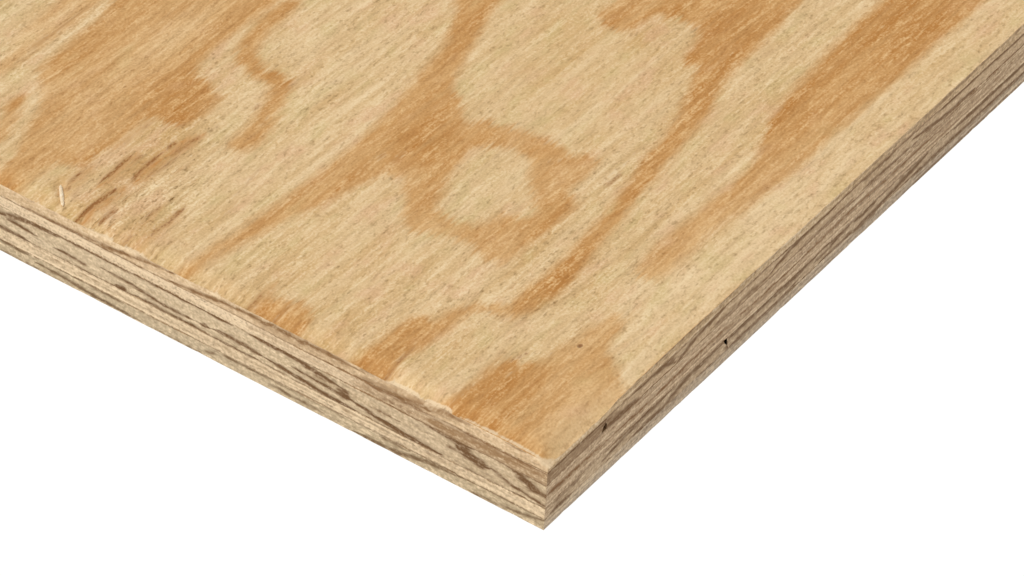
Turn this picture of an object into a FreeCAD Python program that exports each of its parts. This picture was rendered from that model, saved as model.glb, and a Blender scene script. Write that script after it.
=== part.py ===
"""Plywood sheathing panel: five rotary-cut veneers laid crosswise and trimmed square, millimetres.

The panel lies flat. X runs along its length, which is the grain direction of the face, the core
and the back. Y runs across it, along the grain of the two crossbands. Z is up, and the origin is
at the middle of the underside.

From the bottom up the plies are the back veneer, the lower crossband, the core veneer, the upper
crossband and the face veneer. The veneers with long grain are one sheet each. A crossband is a row
of clipped strips laid side by side. Where two strips don't quite meet they leave a core gap, a
narrow slanted channel that runs the panel's full width and shows on both long edges.
"""

import FreeCAD, Part
import Sketcher
import os

SIZES = {
    # the trimmed panel, a stock sheet of 96 by 48 inches
    "panel_length": 2438.4,
    "panel_width": 1219.2,
    # the plies as pressed
    "back_thickness": 3.0,
    "crossband_thickness": 3.2,
    "core_thickness": 5.9,
    "face_thickness": 3.0,
    # crossband strips: the width they are clipped to, and the narrowest one worth laying
    "clip_width": 1270.0,
    "least_strip": 12.0,
    # the first core gap of each crossband: how far its middle lies from the panel's end at the
    # ply's lower face (foot), how far it leans from there to the upper face (head), and its width
    "upper_joint_foot": 19.5,
    "upper_joint_lean": 0.9,
    "upper_gap_foot": 1.9,
    "upper_gap_head": 0.8,
    "lower_joint_foot": 65.0,
    "lower_joint_lean": -1.6,
    "lower_gap_foot": 0.9,
    "lower_gap_head": 1.2,
}

# Each ply from the bottom up, with the name of its thickness. It lies on all those before it.
PLIES = {
    "back_veneer": "back_thickness",
    "lower_crossband": "crossband_thickness",
    "core_veneer": "core_thickness",
    "upper_crossband": "crossband_thickness",
    "face_veneer": "face_thickness",
}


def make_sheet(doc):
    """Keeps the driving sizes in a spreadsheet: the names in column A, the values in column B."""
    sheet = doc.addObject("Spreadsheet::Sheet", "Sizes")
    for row, (name, value) in enumerate(SIZES.items(), start=1):
        sheet.set(f"A{row}", name)
        sheet.set(f"B{row}", str(value))
        sheet.setAlias(f"B{row}", name)
    doc.recompute()
    return sheet


def height_below(ply):
    """The expression for the height of a ply's lower face above the underside."""
    names = list(PLIES)
    below = names[: names.index(ply)]
    return " + ".join(f"Sizes.{PLIES[name]}" for name in below) or "0"


def new_body(doc, label, ply, plane):
    """A body at its ply's height, with an empty sketch on one of its own origin planes."""
    body = doc.addObject("PartDesign::Body", label)
    body.Label = label
    body.setExpression(".Placement.Base.z", height_below(ply))
    sketch = body.newObject("Sketcher::SketchObject", f"{label}_outline")
    origin_plane = next(item for item in body.Origin.OriginFeatures if item.Role == plane)
    sketch.AttachmentSupport = [(origin_plane, "")]
    sketch.MapMode = "FlatFace"
    return body, sketch


def draw_outline(sketch, corners):
    """Four lines through the corners in turn, joined end to end."""
    points = [FreeCAD.Vector(x, y, 0) for x, y in corners]
    for start, end in zip(points, points[1:] + points[:1]):
        sketch.addGeometry(Part.LineSegment(start, end), False)
    for line in range(4):
        sketch.addConstraint(Sketcher.Constraint("Coincident", line, 2, (line + 1) % 4, 1))


def bind(sketch, name, constraint, expression):
    """Adds a named dimension to the sketch and ties it to the spreadsheet."""
    sketch.addConstraint(constraint)
    sketch.renameConstraint(sketch.ConstraintCount - 1, name)
    sketch.setExpression(f"Constraints.{name}", expression)


def pad(body, sketch, distance, side_type="One side"):
    """Gives the outline its thickness or its width, and makes the result the body's shape."""
    solid = body.newObject("PartDesign::Pad", f"{body.Label}_pad")
    solid.Profile = sketch
    solid.SideType = side_type
    solid.setExpression("Length", distance)
    body.Tip = solid
    return body


def whole_veneer(doc, sheet, ply):
    """A veneer in one sheet as large as the panel, centred on the panel's middle."""
    body, sketch = new_body(doc, ply, ply, "XY_Plane")
    half_length = sheet.panel_length / 2
    half_width = sheet.panel_width / 2
    corners = [
        (-half_length, -half_width),
        (half_length, -half_width),
        (half_length, half_width),
        (-half_length, half_width),
    ]
    draw_outline(sketch, corners)
    for line, direction in enumerate(("Horizontal", "Vertical", "Horizontal", "Vertical")):
        sketch.addConstraint(Sketcher.Constraint(direction, line))
    # opposite corners, the starts of lines 0 and 2, lie evenly about the origin
    sketch.addConstraint(Sketcher.Constraint("Symmetric", 0, 1, 2, 1, -1, 1))
    along = Sketcher.Constraint("DistanceX", 0, 1, 0, 2, 2 * half_length)
    across = Sketcher.Constraint("DistanceY", 1, 1, 1, 2, 2 * half_width)
    bind(sketch, "Along", along, "Sizes.panel_length")
    bind(sketch, "Across", across, "Sizes.panel_width")
    return pad(body, sketch, f"Sizes.{PLIES[ply]}")


def joint_count(sheet, side):
    """How many core gaps a crossband has. The last leaves no strip too narrow to lay after it."""
    first = getattr(sheet, f"{side}_joint_foot")
    pitch = sheet.clip_width + getattr(sheet, f"{side}_gap_foot")
    count = 0
    while first + count * pitch < sheet.panel_length - sheet.least_strip:
        count += 1
    return count


def gap_edge(side, joint, level, towards):
    """The expression for one edge of a core gap, as its distance from the panel's end.

    Joints count from 0. The level is foot or head, at the ply's lower or upper face. Towards is
    "-" for the edge nearer the panel's end and "+" for the other.
    """
    middle = f"Sizes.{side}_joint_foot + {joint} * (Sizes.clip_width + Sizes.{side}_gap_foot)"
    if level == "head":
        middle += f" + Sizes.{side}_joint_lean"
    return f"{middle} {towards} Sizes.{side}_gap_{level} / 2"


def crossband_strip(doc, side, strip, joints):
    """One strip of a crossband, between two core gaps or between a gap and the panel's end.

    Strips count from 0. The section is drawn in the XZ plane from the panel's end, with the lean of
    the gaps on either side of it, and padded along Y to the panel's width.
    """
    ply = f"{side}_crossband"
    body, sketch = new_body(doc, f"{ply}_strip_{strip + 1}", ply, "XZ_Plane")
    body.setExpression(".Placement.Base.x", "-Sizes.panel_length / 2")

    edges = {}
    for level in ("foot", "head"):
        starts_at_end = strip == 0
        stops_at_end = strip == joints
        start = "0" if starts_at_end else gap_edge(side, strip - 1, level, "+")
        stop = "Sizes.panel_length" if stops_at_end else gap_edge(side, strip, level, "-")
        edges[level] = (start, stop)
    foot = [body.evalExpression(edge) for edge in edges["foot"]]
    head = [body.evalExpression(edge) for edge in edges["head"]]
    rise = body.evalExpression(f"Sizes.{PLIES[ply]}")
    draw_outline(sketch, [(foot[0], 0), (foot[1], 0), (head[1], rise), (head[0], rise)])

    # a corner is the start of its line; the origin and the axes are geometry -1 and -2
    foot_start, foot_stop, head_stop, head_start = (0, 1), (1, 1), (2, 1), (3, 1)
    origin, x_axis, y_axis = (-1, 1), -1, -2
    sketch.addConstraint(Sketcher.Constraint("PointOnObject", *foot_start, x_axis))
    sketch.addConstraint(Sketcher.Constraint("Horizontal", 0))
    sketch.addConstraint(Sketcher.Constraint("Horizontal", 2))
    thickness = Sketcher.Constraint("DistanceY", *foot_stop, *head_stop, rise)
    bind(sketch, "Thickness", thickness, f"Sizes.{PLIES[ply]}")
    distances = [
        ("FootStart", foot_start, edges["foot"][0]),
        ("FootStop", foot_stop, edges["foot"][1]),
        ("HeadStart", head_start, edges["head"][0]),
        ("HeadStop", head_stop, edges["head"][1]),
    ]
    for name, corner, distance in distances:
        if distance == "0":
            sketch.addConstraint(Sketcher.Constraint("PointOnObject", *corner, y_axis))
            continue
        value = body.evalExpression(distance)
        bind(sketch, name, Sketcher.Constraint("DistanceX", *origin, *corner, value), distance)
    return pad(body, sketch, "Sizes.panel_width", "Symmetric")


def crossband(doc, sheet, side):
    """A crossband's strips in order along the panel."""
    joints = joint_count(sheet, side)
    return [crossband_strip(doc, side, strip, joints) for strip in range(joints + 1)]


def check(doc, bodies):
    """Stops if anything in the document failed, or a body isn't one valid solid."""
    for item in doc.Objects:
        if "Invalid" in item.State or "Error" in item.State:
            raise RuntimeError(f"{item.Label} failed to recompute: {item.State}")
    for body in bodies:
        shape = body.Shape
        if shape.isNull() or not shape.isValid() or len(shape.Solids) != 1:
            raise RuntimeError(f"{body.Label} isn't one valid solid")


def main():
    doc = FreeCAD.newDocument("SheathingPanel")
    sheet = make_sheet(doc)
    bodies = [
        whole_veneer(doc, sheet, "back_veneer"),
        *crossband(doc, sheet, "lower"),
        whole_veneer(doc, sheet, "core_veneer"),
        *crossband(doc, sheet, "upper"),
        whole_veneer(doc, sheet, "face_veneer"),
    ]
    doc.recompute()
    check(doc, bodies)
    os.makedirs("parts", exist_ok=True)
    for body in bodies:
        body.Shape.exportStep(f"parts/{body.Label}.step")
        box = body.Shape.BoundBox
        print(
            f"{body.Label}: x {box.XMin:.1f} to {box.XMax:.1f}, y {box.YMin:.1f} to {box.YMax:.1f},"
            f" z {box.ZMin:.2f} to {box.ZMax:.2f}, {body.Shape.Volume / 1000:.1f} cm3"
        )


main()
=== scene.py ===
"""Looks of the plywood sheathing panel: five pine veneers with their figure, grain and sawn edges.

Places on the panel are in millimetres from its near corner: u runs along the length, v across the
width, and depth goes down from the top of the face. The frame itself is in metres.
"""

import math

import bpy
import numpy as np
from mathutils import Matrix, Vector


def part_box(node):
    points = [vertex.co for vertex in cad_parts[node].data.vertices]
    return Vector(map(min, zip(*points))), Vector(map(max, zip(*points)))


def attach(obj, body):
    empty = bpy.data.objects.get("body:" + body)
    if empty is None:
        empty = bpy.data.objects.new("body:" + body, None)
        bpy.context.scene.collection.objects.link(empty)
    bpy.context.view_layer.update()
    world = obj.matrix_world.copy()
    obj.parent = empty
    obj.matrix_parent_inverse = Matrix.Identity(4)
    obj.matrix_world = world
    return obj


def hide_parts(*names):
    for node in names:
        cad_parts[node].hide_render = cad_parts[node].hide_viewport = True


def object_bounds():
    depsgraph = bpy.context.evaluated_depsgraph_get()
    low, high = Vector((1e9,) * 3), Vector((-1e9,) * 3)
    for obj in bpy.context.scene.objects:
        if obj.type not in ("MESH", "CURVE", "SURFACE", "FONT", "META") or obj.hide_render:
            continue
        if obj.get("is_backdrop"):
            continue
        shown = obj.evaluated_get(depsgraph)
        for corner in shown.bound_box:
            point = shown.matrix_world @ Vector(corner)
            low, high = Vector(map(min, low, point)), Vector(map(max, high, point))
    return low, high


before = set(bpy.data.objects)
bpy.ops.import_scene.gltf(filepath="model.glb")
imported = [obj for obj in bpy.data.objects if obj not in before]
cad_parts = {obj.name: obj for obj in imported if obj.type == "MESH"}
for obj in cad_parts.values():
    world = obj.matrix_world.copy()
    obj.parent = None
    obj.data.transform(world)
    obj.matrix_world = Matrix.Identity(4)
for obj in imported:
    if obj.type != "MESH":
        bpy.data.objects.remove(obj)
CAD_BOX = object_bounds()

MM = 0.001
CORNER = Vector((CAD_BOX[0].x, CAD_BOX[0].y, CAD_BOX[1].z))
LENGTH, WIDTH, THICKNESS = [size / MM for size in CAD_BOX[1] - CAD_BOX[0]]

# how far from the near corner the drawn figure and the drawn edge bands start and stop fading out
FIGURE_REACH = {"u": (184.0, 270.0), "v": (176.0, 250.0)}
BAND_REACH = {"u": (182.0, 240.0), "v": (138.0, 165.0)}
CURVE_STEPS = 6  # between two points of a drawn curve

# ---------------------------------------------------------------- helpers


def put(name, data):
    """A new object in the scene."""
    obj = bpy.data.objects.new(name, data)
    bpy.context.scene.collection.objects.link(obj)
    return obj


def ease(value, start, stop):
    """0 up to start, 1 from stop on, and an even ease between them."""
    t = np.clip((value - start) / (stop - start), 0, 1)
    return t * t * (3 - 2 * t)


def fade(value, start, stop):
    """1 up to start, 0 from stop on, and an even ease between them."""
    return 1 - ease(value, start, stop)


def nearness(u, v, reach):
    """1 near the panel's corner, 0 far from it."""
    return fade(u, *reach["u"]) * fade(v, *reach["v"])


def value_noise(x, y, seed):
    """Smooth noise from -1 to 1 over the plane, with features about one unit across."""
    size = 128
    lattice = np.random.default_rng(seed).uniform(-1, 1, (size, size))
    column, row = np.floor(x).astype(int), np.floor(y).astype(int)
    across = ease(x - column, 0, 1)
    up = ease(y - row, 0, 1)

    def corner(i, j):
        return lattice[(column + i) % size, (row + j) % size]

    low = corner(0, 0) * (1 - across) + corner(1, 0) * across
    high = corner(0, 1) * (1 - across) + corner(1, 1) * across
    return low * (1 - up) + high * up


def line_noise(along, size, seed):
    """Smooth noise from -1 to 1 along a line, with features about this long."""
    return value_noise(along / size, 0 * along, seed)


def smooth_curve(points, closed=False):
    """A Catmull-Rom curve through the points."""
    p = np.array(points, float)
    if closed:
        p = np.vstack([p[-1], p, p[:2]])
    else:
        p = np.vstack([2 * p[0] - p[1], p, 2 * p[-1] - p[-2]])
    t = np.linspace(0, 1, CURVE_STEPS, endpoint=False)[:, None]
    parts = []
    for a, b, c, d in zip(p, p[1:], p[2:], p[3:]):
        bend = 2 * b + (c - a) * t + (2 * a - 5 * b + 4 * c - d) * t**2
        parts.append((bend + (3 * b - a - 3 * c + d) * t**3) / 2)
    return np.vstack([*parts, p[-2:-1]])


def near_curve(points, curve, margin=np.inf):
    """The points within the margin of the curve's box: which they are, how far each is from the
    curve, and how far along it their nearest places are, from 0 to 1.
    """
    low, high = curve.min(axis=0) - margin, curve.max(axis=0) + margin
    close = np.all((points > low) & (points < high), axis=1)
    points = points[close]
    nearest, share = np.full(len(points), np.inf), np.zeros(len(points))
    lengths = np.linalg.norm(np.diff(curve, axis=0), axis=1)
    passed = np.concatenate([[0], np.cumsum(lengths)]) / max(lengths.sum(), 1e-9)
    for k, (start, stop) in enumerate(zip(curve, curve[1:])):
        step = stop - start
        t = np.clip((points - start) @ step / max(step @ step, 1e-12), 0, 1)
        away = np.linalg.norm(points - start - t[:, None] * step, axis=1)
        closer = away < nearest
        nearest[closer] = away[closer]
        share[closer] = passed[k] + t[closer] * (passed[k + 1] - passed[k])
    return close, nearest, share


def inside(points, outline):
    """Which points lie inside the closed outline."""
    x, y = points.T
    crossings = np.zeros(len(points), int)
    for (ax, ay), (bx, by) in zip(outline, outline[1:]):
        straddles = (ay > y) != (by > y)
        with np.errstate(divide="ignore", invalid="ignore"):
            crossings += straddles & (x < ax + (y - ay) * (bx - ax) / (by - ay))
    return crossings % 2 == 1


# ---------------------------------------------------------------- what is drawn

# outlines of the dark latewood on the face near the corner, (u, v) in mm
LATEWOOD = {
    "corner": [
        (-8, 24.8), (8, 24.6), (15, 24.5), (19, 23), (20, 20.5), (22, 18.5), (25, 17.5), (30, 17), (35, 16),
        (40, 15.3), (44, 14.5), (42, 12), (36, 10), (33, 8.5), (31, 6), (27, 1), (26, -8), (-8, -8),
    ],
    "wedge": [
        (57, 16), (60, 19), (75, 19.8), (90, 19), (101, 19.5), (107, 21.3), (114, 23.2), (120, 25),
        (150, 28), (200, 29), (260, 27), (300, 20), (260, 12), (200, 11), (150, 11), (110, 11.2), (95, 12),
        (80, 13.5), (60, 13.2),
    ],
    "smile": [
        (31, 31), (33, 28.5), (38, 27), (45, 26.8), (52, 27.8), (62, 29.3), (80, 32), (100, 34.5),
        (110, 36), (119, 38.6), (128, 40), (142, 40.6), (160, 42.5), (200, 46), (290, 50), (290, 70),
        (200, 72), (134, 73), (123, 72), (122, 66), (131, 63), (133, 57), (130, 52), (123, 50.5), (120, 46),
        (112, 42.5), (102, 39.5), (88, 37.3), (70, 34), (52, 32.6), (43, 32.6), (35, 33),
    ],
    "smile_end": [
        (-8, 46.8), (8, 46.6), (15, 46), (19, 45), (20, 43), (20, 41.5), (24, 41), (28.5, 38.8), (31, 35.5),
        (33, 32), (29.5, 32.5), (27, 36.8), (20, 37.3), (13, 38), (8, 39), (-8, 39),
    ],
    "middle": [
        (-8, 90.5), (10, 90), (30, 87.8), (50, 87.5), (62, 87.7), (70, 88.5), (78, 90), (88, 91.5),
        (95, 93), (104, 97), (112, 101), (140, 103), (200, 104), (290, 98), (200, 91), (140, 92), (112, 92),
        (100, 88.5), (93, 86.5), (84, 83), (80.5, 78.8), (75, 73), (76, 70), (60, 69), (51, 70), (52, 73),
        (51, 76), (48.5, 77.5), (45, 78.5), (40, 79.5), (34, 81.2), (28, 83), (20, 84.5), (8, 87.5),
        (-8, 87.5),
    ],
    "ring": [
        (51, 72), (47.5, 69), (44, 66.8), (41.5, 64.5), (40.2, 61), (41.5, 57), (43.5, 51), (42.5, 47),
        (42, 44.5), (42.5, 42), (45.5, 40.3), (51, 40.3), (57, 39.4), (65, 40), (69, 41.5), (71, 43.8),
        (80, 44.5), (82.5, 46), (80.5, 50), (80.8, 54), (82, 57.5), (80.8, 60.5), (80, 64), (78.3, 68),
        (77, 72), (62, 75),
    ],
    "upper": [
        (-8, 131.5), (8, 131.5), (12, 130.5), (15, 126.5), (25, 125.8), (35, 125.8), (37, 121), (39, 118.5),
        (50, 118.3), (51.5, 122), (53, 126.5), (57, 128.9), (64, 129.5), (72, 129.2), (85, 129), (140, 127),
        (220, 132), (290, 146), (220, 158), (100, 158), (66, 158), (62, 156.5), (50, 154.8), (40, 154.6),
        (34, 153.6), (31, 151), (28, 148.5), (23, 145.3), (17, 143), (8, 140), (-8, 136.5),
    ],
    "upper_fringe": [
        (33, 158.6), (60, 158.4), (90, 159.3), (120, 162), (90, 167), (60, 165.5), (45, 165), (36, 163),
        (26, 160.3),
    ],
    "upper_fleck": [(11, 144.6), (19, 147), (26, 150.3), (22, 151.6), (16, 149.6), (10, 146.4)],
    "edge_patch": [(-6, 60), (5, 61), (7.5, 64), (7, 69), (3, 71.5), (-6, 71)],
}
# the light wood inside the ring
ISLAND = [
    (48.2, 61.5), (47.8, 57), (48.4, 53.6), (50.5, 51.6), (54.8, 50.4), (56, 48), (57.5, 46.2), (60, 45.2),
    (63, 47.8), (66, 50.6), (69, 53.4), (73.8, 56.2), (74.6, 59.6), (73.2, 63.5), (70.6, 66.8),
    (68.2, 67.4), (60, 65.9), (53, 64),
]
# curled latewood bands: the half width and the middle line of each
CURLS = [
    (2.1, [(85, 127), (75, 126.2), (68, 125), (64, 122), (62, 117), (62, 112), (57, 109), (50, 106.8),
           (44, 105.2), (40, 105.4)]),
    (2.3, [(50, 106.4), (44, 105.5), (41, 106.1)]),
]

# where the face's wood is darker or, below 0, lighter than the rest of its kind: u, v, how far the
# spot reaches along u and along v, and how much darker it is
TONES = [
    (10, 20.5, 13, 3.5, 0.7), (32, 13.5, 11, 4, -0.35), (10, 4, 9, 5, -0.45), (22, 7.5, 5, 2.5, -0.3),
    (20, 3, 10, 3, -0.3), (76, 16, 26, 5, -0.2), (118, 22.5, 14, 3.5, 0.5), (145, 20, 32, 8, 0.2),
    (48, 29.5, 12, 3, 0.5), (85, 35, 22, 3, 0.4), (112, 39.5, 10, 4, 0.5), (140, 47, 17, 6, 0.45),
    (127, 68, 8, 5, -0.2), (8, 43, 14, 3, 0.35), (27, 37, 6, 3, -0.1), (65, 76, 7, 7, 0.4),
    (52, 74, 3, 5, -0.4), (48, 82, 18, 5, -0.1), (98, 92, 14, 4, 0.3), (62, 42, 9, 2.5, 0.35),
    (48, 46, 6, 5, -0.1), (43, 59, 4, 8, -0.5), (73, 47.5, 8, 3, -0.35), (78, 62, 4, 6, -0.15),
    (78, 55, 3, 3, 0.3), (43, 123, 9, 6, 0.25), (62, 138, 14, 5, -0.5), (38, 139, 26, 4, -0.4),
    (50, 146, 30, 10, -0.15), (45, 152, 16, 4, 0.25), (27, 131, 10, 5, -0.25), (27, 148, 9, 3, -0.6),
    (8, 146, 14, 4, -0.1), (16, 132, 18, 3, -0.1), (22, 150.5, 4, 2, 0.7), (45, 162, 24, 3, -0.8),
    (22, 146, 7, 2, 0.3), (64.5, 114, 4, 7, 0.5), (46, 105, 10, 3, 0.2), (70, 126, 9, 3, -0.1),
    (14, 119, 22, 8, 0.4), (31, 121, 9, 5, 0.6), (27, 114.8, 11, 2, 0.6), (56, 125, 6, 4, 0.3),
    (85, 5, 45, 6, -0.35), (100, 62, 22, 22, 0.2), (18, 66, 22, 16, 0.1), (85, 24, 40, 4, 0.1),
    (75, 112, 12, 9, -0.1), (45, 171, 20, 4, -0.3), (47, 113, 8, 5, -0.1), (6, 104, 10, 4, 0.4),
    (72, 128.5, 10, 2, -0.1), (70, 32, 12, 2.5, 0.4), (88, 24, 6, 4, 0.3), (6, 128, 9, 3, 0.4),
    (48, 42, 6, 3, -0.2), (163, 18, 14, 6, 0.6), (117, 76, 12, 8, 0.6), (125, 60, 9, 5, 0.9),
    (122, 28, 9, 3, 0.5), (87, 48, 6, 3, 0.5), (117, 48, 8, 3, 0.5), (97, 98, 8, 3, 0.4),
    (47, 72, 5, 3, 0.45), (47, 22, 8, 3, 0.5), (77, 12, 10, 2.5, 0.4), (15, 34, 9, 4, 0.7),
    (47, 38, 6, 2.5, 0.6), (57, 11, 8, 6, -0.35), (27, 102, 7, 3, -0.4), (17, 73, 8, 3, 0.35),
    (7, 56, 8, 3, 0.4), (137, 37, 8, 2.5, 0.4), (37, 101, 7, 2.5, -0.4),
]

# where the face's grain is rough or, below 0, calm, written the same way
ROUGH = [
    (14, 113, 24, 9, 1), (8, 103, 18, 5, 0.6), (42, 30, 16, 12, 0.45), (85, 40, 24, 4, 0.5),
    (10, 76, 14, 6, 0.35), (50, 160, 26, 6, 0.5), (12, 46, 14, 8, 0.35), (45, 137, 26, 6, 0.3),
    (100, 64, 22, 18, -0.4),
]

# torn grain on the face: how bad it is, its half width and its line, (u, v) in mm
TEARS = [
    (0.85, 0.42, [(-1, 116.8), (5, 116.8), (9, 116.6), (13.5, 116.4)]),
    (0.68, 0.38, [(16.5, 115.2), (19, 116), (23, 116.4), (28, 116.4)]),
    (0.7, 0.45, [(29.5, 116.3), (33, 116.4)]), (0.42, 0.55, [(20, 113.8), (25, 113.2), (29, 113.3)]),
    (0.51, 0.42, [(28, 114.2), (35, 114), (37.5, 113.2)]),
    (0.68, 0.45, [(2, 112.1), (5.5, 112.3), (8, 112)]),
    (0.72, 0.38, [(12.5, 120.3), (17, 120.4), (20, 120.6), (23.5, 120.8)]),
    (0.59, 0.45, [(6, 124.2), (8, 124.2)]), (0.59, 0.38, [(8, 125), (10, 125.2), (14, 125.3)]),
    (0.51, 0.45, [(21.5, 119.2), (25, 119.2)]), (0.51, 0.3, [(7, 105.3), (10, 105.8), (15, 105.9)]),
    (0.51, 0.38, [(-1, 104.8), (4, 104.8)]),
    (0.59, 0.45, [(5.5, 101.6), (7, 101.8), (10, 101.6), (18, 102)]),
    (0.38, 0.38, [(17, 126.9), (20, 126.6)]), (0.34, 0.38, [(25, 124.3), (29, 124.6)]),
    (0.34, 0.38, [(31, 124.5), (35, 124.2)]), (0.26, 0.45, [(40, 113), (43, 113)]),
    (0.3, 0.3, [(36, 110), (38, 109.3)]), (0.3, 0.3, [(39, 109.2), (42, 109.4)]),
    (0.42, 0.38, [(51, 110.6), (54, 110.9)]), (0.34, 0.3, [(47, 106.2), (49, 106.3), (52, 107.3)]),
    (0.34, 0.3, [(25, 96.2), (30, 96.5), (35, 97.5), (39, 97.8)]), (0.26, 0.3, [(20, 94), (25, 94.3)]),
    (0.26, 0.45, [(28, 105.5), (30, 105.4)]), (0.26, 0.3, [(0, 98), (3, 98.4)]),
    (0.51, 0.38, [(-1, 39.2), (6, 39.6), (12, 40)]), (0.65, 0.3, [(76, 38.7), (82, 38.7)]),
    (0.26, 0.38, [(75, 40.3), (93, 40.3)]), (0.4, 0.3, [(36, 159.2), (45, 159.3), (58, 159.6)]),
    (0.3, 0.3, [(38, 160.1), (45, 160.3)]), (0.51, 0.38, [(20, 22.5), (22.5, 21.6), (24.5, 20.2)]),
    (0.42, 0.45, [(55, 77.5), (59.5, 77.7)]), (0.34, 0.45, [(54, 80.5), (57, 80.5)]),
    (0.34, 0.38, [(75, 53), (77, 50.8), (79, 50.3)]), (0.42, 0.45, [(67, 125), (69, 124.8)]),
    (0.42, 0.45, [(26, 38.6), (28, 38.6)]), (0.34, 0.38, [(15, 20.2), (20, 20.2)]),
    (0.34, 0.3, [(25, 17.4), (27.5, 17.4)]), (0.34, 0.38, [(-1, 24.3), (10, 24.3)]),
    (0.21, 0.3, [(28, 23.3), (39, 23.3)]), (0.51, 0.6, [(-1, 73), (6, 73)]),
    (0.42, 0.45, [(-1, 66.6), (6, 66.6)]),
]
# darker wood beside the tears, drawn the same way: partly bruised brown, partly painted shade under the torn
# grain
BRUISES_AND_SHADE = [
    (0.8, 1.2, [(-1, 115.8), (8, 115.7), (15, 115.2)]), (0.55, 1, [(11, 119.6), (25, 120)]),
    (0.45, 1.1, [(-1, 101), (16, 101.4)]), (0.75, 1.5, [(16, 114.4), (23, 115.2), (31, 115), (38, 113.4)]),
    (0.5, 0.9, [(4, 124.6), (16, 124.8)]), (0.4, 0.8, [(22, 124.8), (36, 124.6)]),
    (0.4, 0.9, [(-1, 105), (15, 105.6)]), (0.4, 0.7, [(-1, 72.4), (10, 73)]),
]
KNOT_U, KNOT_V, KNOT_SIZE = 31.6, 14.4, 0.45  # a pin knot in the face

# a splinter torn loose from the face: where it starts and stops, its greatest width and height, how
# far its top lies below the face's, and the sides and rings of its mesh
SPLINTER = {"start": (2.0, 121.4), "stop": (7.2, 126.3), "width": 0.85, "height": 0.45, "sunk": 0.02}
SPLINTER_SIDES, SPLINTER_RINGS = 8, 9
# the hollow that it lies in, and how far from its middle line the hollow starts and stops rising
BED_DEPTH, BED_REACH = 0.42, (0.2, 1.7)

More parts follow.
